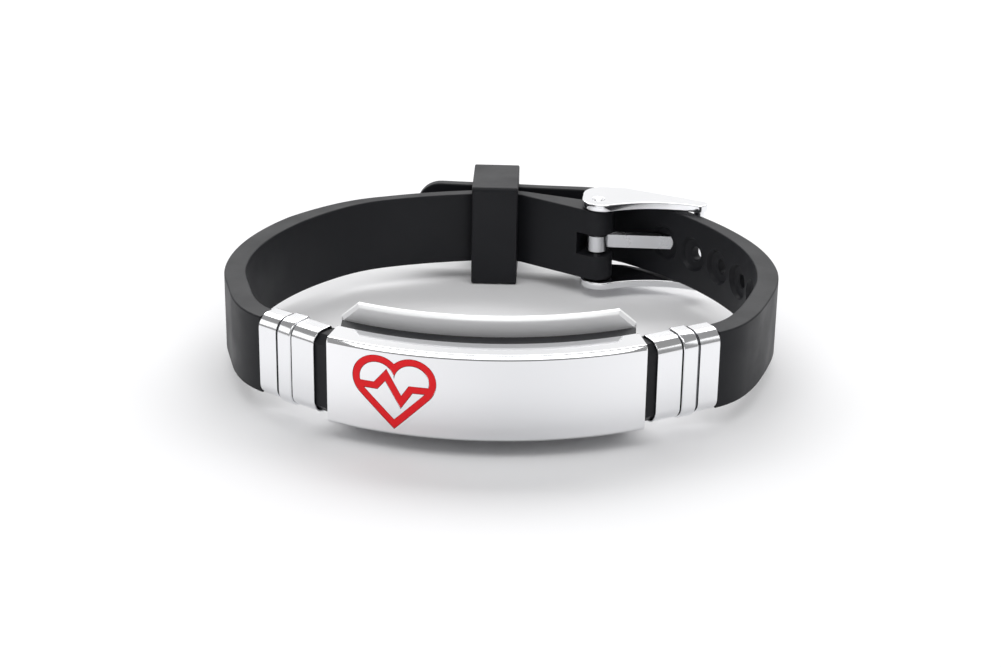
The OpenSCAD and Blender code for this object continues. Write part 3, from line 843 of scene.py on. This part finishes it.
# End caps: sleeves of thin polished steel, one over each end of the strap beside the bar. Each is
# rolled round the strap, with a raised bead between two fine grooves and rounded outer edges.
cap_wall, bead_wide, bead_rise, bead_from_end = 0.25 * mm, 2.2 * mm, 0.25 * mm, 3.5 * mm
cap_outer_round, cap_inner_round, rim_ease = 1.9 * mm, 0.4 * mm, 0.07 * mm
near_groove_deep, far_groove_deep, far_groove = 0.14 * mm, 0.15 * mm, 0.42 * mm
mark_slack = 0.01 * mm


def quarter_round(middle, radius, first, steps):
    """Points of a rounded corner, clockwise from an angle."""
    return [middle + radius * flat_dir(first - k / steps * pi / 2) for k in range(steps + 1)]


def sleeve_ring(grow, side):
    """Rounded outline across the strap, grown outwards; the strap's inner face is at y = 0."""
    points = []
    for y_way, z_way, first in ((-1, 1, pi), (1, 1, pi / 2), (1, -1, 0), (-1, -1, -pi / 2)):
        radius = cap_outer_round if side * y_way < 0 else cap_inner_round
        middle = Vector((-side * strap_thick / 2, 0)) + Vector((
            y_way * (strap_thick / 2 + fit_gap + cap_wall - radius),
            z_way * (strap_wide / 2 + fit_gap + cap_wall - radius),
        ))
        points += quarter_round(middle, radius + grow, first, 10)
    return points


def ringed_piece(name, rings):
    """A closed tube through rings of points, drawn out from the first ring and back to it."""
    deselect()
    bpy.ops.mesh.primitive_circle_add(vertices=len(rings[0]), fill_type="NOTHING")
    piece = bpy.context.object
    piece.name = piece.data.name = name
    for vertex, point in zip(piece.data.vertices, rings[0]):
        vertex.co = point
    edit_all()
    for before, ring in zip(rings, rings[1:] + rings[:1]):
        bpy.ops.mesh.extrude_edges_move()
        end_edit()
        for vertex in piece.data.vertices:
            if vertex.select:
                steps = [(point - vertex.co).length_squared for point in before]
                vertex.co = ring[steps.index(min(steps))]
        bpy.ops.object.mode_set(mode="EDIT")
    end_edit()
    mesh_tidy(piece)
    return piece


def half_bead(groove_wide, groove_deep):
    """Groove and shoulder at one side of the bead, as distances into it and heights."""
    return [
        (-groove_wide - 0.04 * mm, 0),
        (-groove_wide, -groove_deep),
        (-0.03 * mm, -groove_deep),
        (0, 0.1 * mm),
        (0.07 * mm, 0.2 * mm),
        (0.2 * mm, bead_rise),
    ]


# painted shade: the grooves' colour is darkened, for the shade that falls in them
cap_tone, groove_shade_tone = (0.86, 0.865, 0.88), (0.11, 0.112, 0.12)
cap_steel = steel("cap steel", cap_tone, roughness=0.1, haze=0.06, hairlines=0.15)
groove_shade_mark = add_node(cap_steel.node_tree, "Attribute")
groove_shade_mark.attribute_name = "groove_shade"
toned(cap_steel, groove_shade_mark.outputs["Fac"], plain=cap_tone, full=groove_shade_tone)


def end_cap(name, node, turn, show, side, near_groove, near_shade):
    """side is 1 for the right cap, -1 for the left one; the near groove is the one by the bar."""
    bead_at = cap_long - bead_from_end - bead_wide
    rim = [(0, -rim_ease), (0.3 * rim_ease, -0.3 * rim_ease), (rim_ease, 0)]
    near_side = half_bead(near_groove, near_groove_deep)
    far_side = half_bead(far_groove, far_groove_deep)
    profile = rim + [(bead_at + x, rise) for x, rise in near_side]
    profile += [(bead_at + bead_wide - x, rise) for x, rise in reversed(far_side)]
    profile += [(cap_long - x, rise) for x, rise in reversed(rim)]
    profile += [
        (cap_long, rim_ease - cap_wall),
        (cap_long - rim_ease, -cap_wall),
        (rim_ease, -cap_wall),
        (0, rim_ease - cap_wall),
    ]
    rings = [[Vector((show + x, p.x, p.y)) for p in sleeve_ring(grow, side)] for x, grow in profile]
    cap = ringed_piece(name, rings)
    # painted shade: vertices in the far groove get the full dark tone, those in the near groove the
    # near share of it
    groove_shade = cap.data.attributes.new("groove_shade", "FLOAT", "POINT")
    near, far = show + bead_at, show + bead_at + bead_wide
    for vertex, mark in zip(cap.data.vertices, groove_shade.data):
        x = vertex.co.x
        if near - near_groove - mark_slack < x < near - mark_slack:
            mark.value = near_shade
        elif far + mark_slack < x < far + far_groove + mark_slack:
            mark.value = 1
    heading = turn if side > 0 else pi - turn
    at = at_bar_end(turn)
    place = Matrix.Translation(in_place(side * at.x, at.y, mid_z))
    cap.matrix_world = place @ Matrix.Rotation(heading, 4, "Z")
    take(cap)
    bpy.ops.object.transform_apply(location=True, rotation=True, scale=True)
    finish_piece(cap, node, cap_steel, smooth=24)


end_cap(
    "left_end_cap", "cap_left", left_turn, left_show, -1, near_groove=0.08 * mm, near_shade=0.5
)
end_cap(
    "right_end_cap", "cap_right", right_turn, right_show, 1, near_groove=0.16 * mm, near_shade=1
)

# Keeper: a loose loop of the same silicone round both layers of the strap, moulded in one piece
# with rounded corners. It hangs down to the table and stands off the tail.
keeper_long, keeper_wall = 6.9 * mm, 1.5 * mm
keeper_x = -0.841 * mm
keeper_low, keeper_high = Vector((61.825 * mm, 1.5 * mm)), Vector((70.41 * mm, 14.05 * mm))
keeper_round, keeper_rim = 0.25 * mm, 0.22 * mm


def keeper_ring(x, grow):
    """Rounded outline of the keeper's hollow, grown outwards, at a distance along the strap."""
    radius = keeper_round + 0.25 * grow
    low, high = keeper_low - Vector((grow, grow)), keeper_high + Vector((grow, grow))
    points = []
    for y, z, y_way, z_way, first in (
        (low.x, high.y, 1, -1, pi),
        (high.x, high.y, -1, -1, pi / 2),
        (high.x, low.y, -1, 1, 0),
        (low.x, low.y, 1, 1, -pi / 2),
    ):
        middle = Vector((y, z)) + Vector((y_way * radius, z_way * radius))
        corner = quarter_round(middle, radius, first, 6)
        points += [in_place(keeper_x + x, p.x, p.y) for p in corner]
    return points


half_keeper = keeper_long / 2
rim_turns = [k * pi / 8 for k in range(5)]
outer_rim = [
    (keeper_rim * (1 - sin(turn)) - half_keeper, keeper_wall - keeper_rim * (1 - cos(turn)))
    for turn in reversed(rim_turns)
]
inner_rim = [
    (half_keeper, keeper_rim),
    (half_keeper - 0.3 * keeper_rim, 0.3 * keeper_rim),
    (half_keeper - keeper_rim, 0),
]
keeper_profile = outer_rim + [(-x, grow) for x, grow in reversed(outer_rim)]
keeper_profile += inner_rim + [(-x, grow) for x, grow in reversed(inner_rim)]
keeper = ringed_piece("keeper_loop", [keeper_ring(x, grow) for x, grow in keeper_profile])
finish_piece(keeper, "keeper", silicone, smooth=40)

# Buckle frame: two arms cut from steel plate and a far bar welded between them, polished, with
# well rounded edges. The arms hold the hinge pin in two bores.
frame_ease = 0.2 * mm


def cad_copy(node, name):
    """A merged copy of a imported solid's mesh, with its flat faces whole."""
    deselect()
    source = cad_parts[node]
    copy = source.copy()
    copy.data = source.data.copy()
    copy.name = copy.data.name = name
    studio.collection.objects.link(copy)
    mesh_tidy(copy)
    edit_all()
    bpy.ops.mesh.dissolve_limited(angle_limit=radians(0.5))
    end_edit()
    return copy


buckle_frame = cad_copy("buckle_frame", "buckle_frame_steel")
ease_edges(buckle_frame, frame_ease, sharper=40, segments=3)
polished_steel = steel(
    "polished steel", (0.86, 0.865, 0.88), roughness=0.1, haze=0.06, hairlines=0.15
)
finish_piece(buckle_frame, "buckle_frame", polished_steel, smooth=35)

# Hinge pin: a turned steel pin through both arms, the fold and the prong's knuckle. Its ends are
# flush with the arms, eased and slightly dished.
pin_half = 6.75 * mm
pin_end = [(0.35 * mm, 0.12 * mm), (0.62 * mm, 0), (0.7 * mm, 0), (0.8 * mm, 0.1 * mm)]
pin_profile = [(r, back - pin_half) for r, back in pin_end]
pin_profile += [(r, pin_half - back) for r, back in reversed(pin_end)]
pin_place = in_place(pin_at.x, pin_at.y, mid_z)
hinge_pin = turned_piece("hinge_pin_steel", pin_profile, pin_place, (0, 0, 1))
finish_piece(hinge_pin, "hinge_pin", polished_steel)

# Prong: a flat steel tongue rolled round the pin at one end. It goes out through the strap's hole
# and comes down on the far bar.
prong_ease = 0.45 * mm
prong = cad_copy("prong", "prong_steel")
ease_edges(prong, prong_ease, sharper=40, segments=4)
# painted shade: the prong's steel is given a darker colour than the other steel, for the shade it
# lies in under the strap
prong_steel = steel("prong steel with painted shade", (0.52, 0.525, 0.54), roughness=0.2, haze=0.1, hairlines=0.3)
finish_piece(prong, "prong", prong_steel, smooth=35)
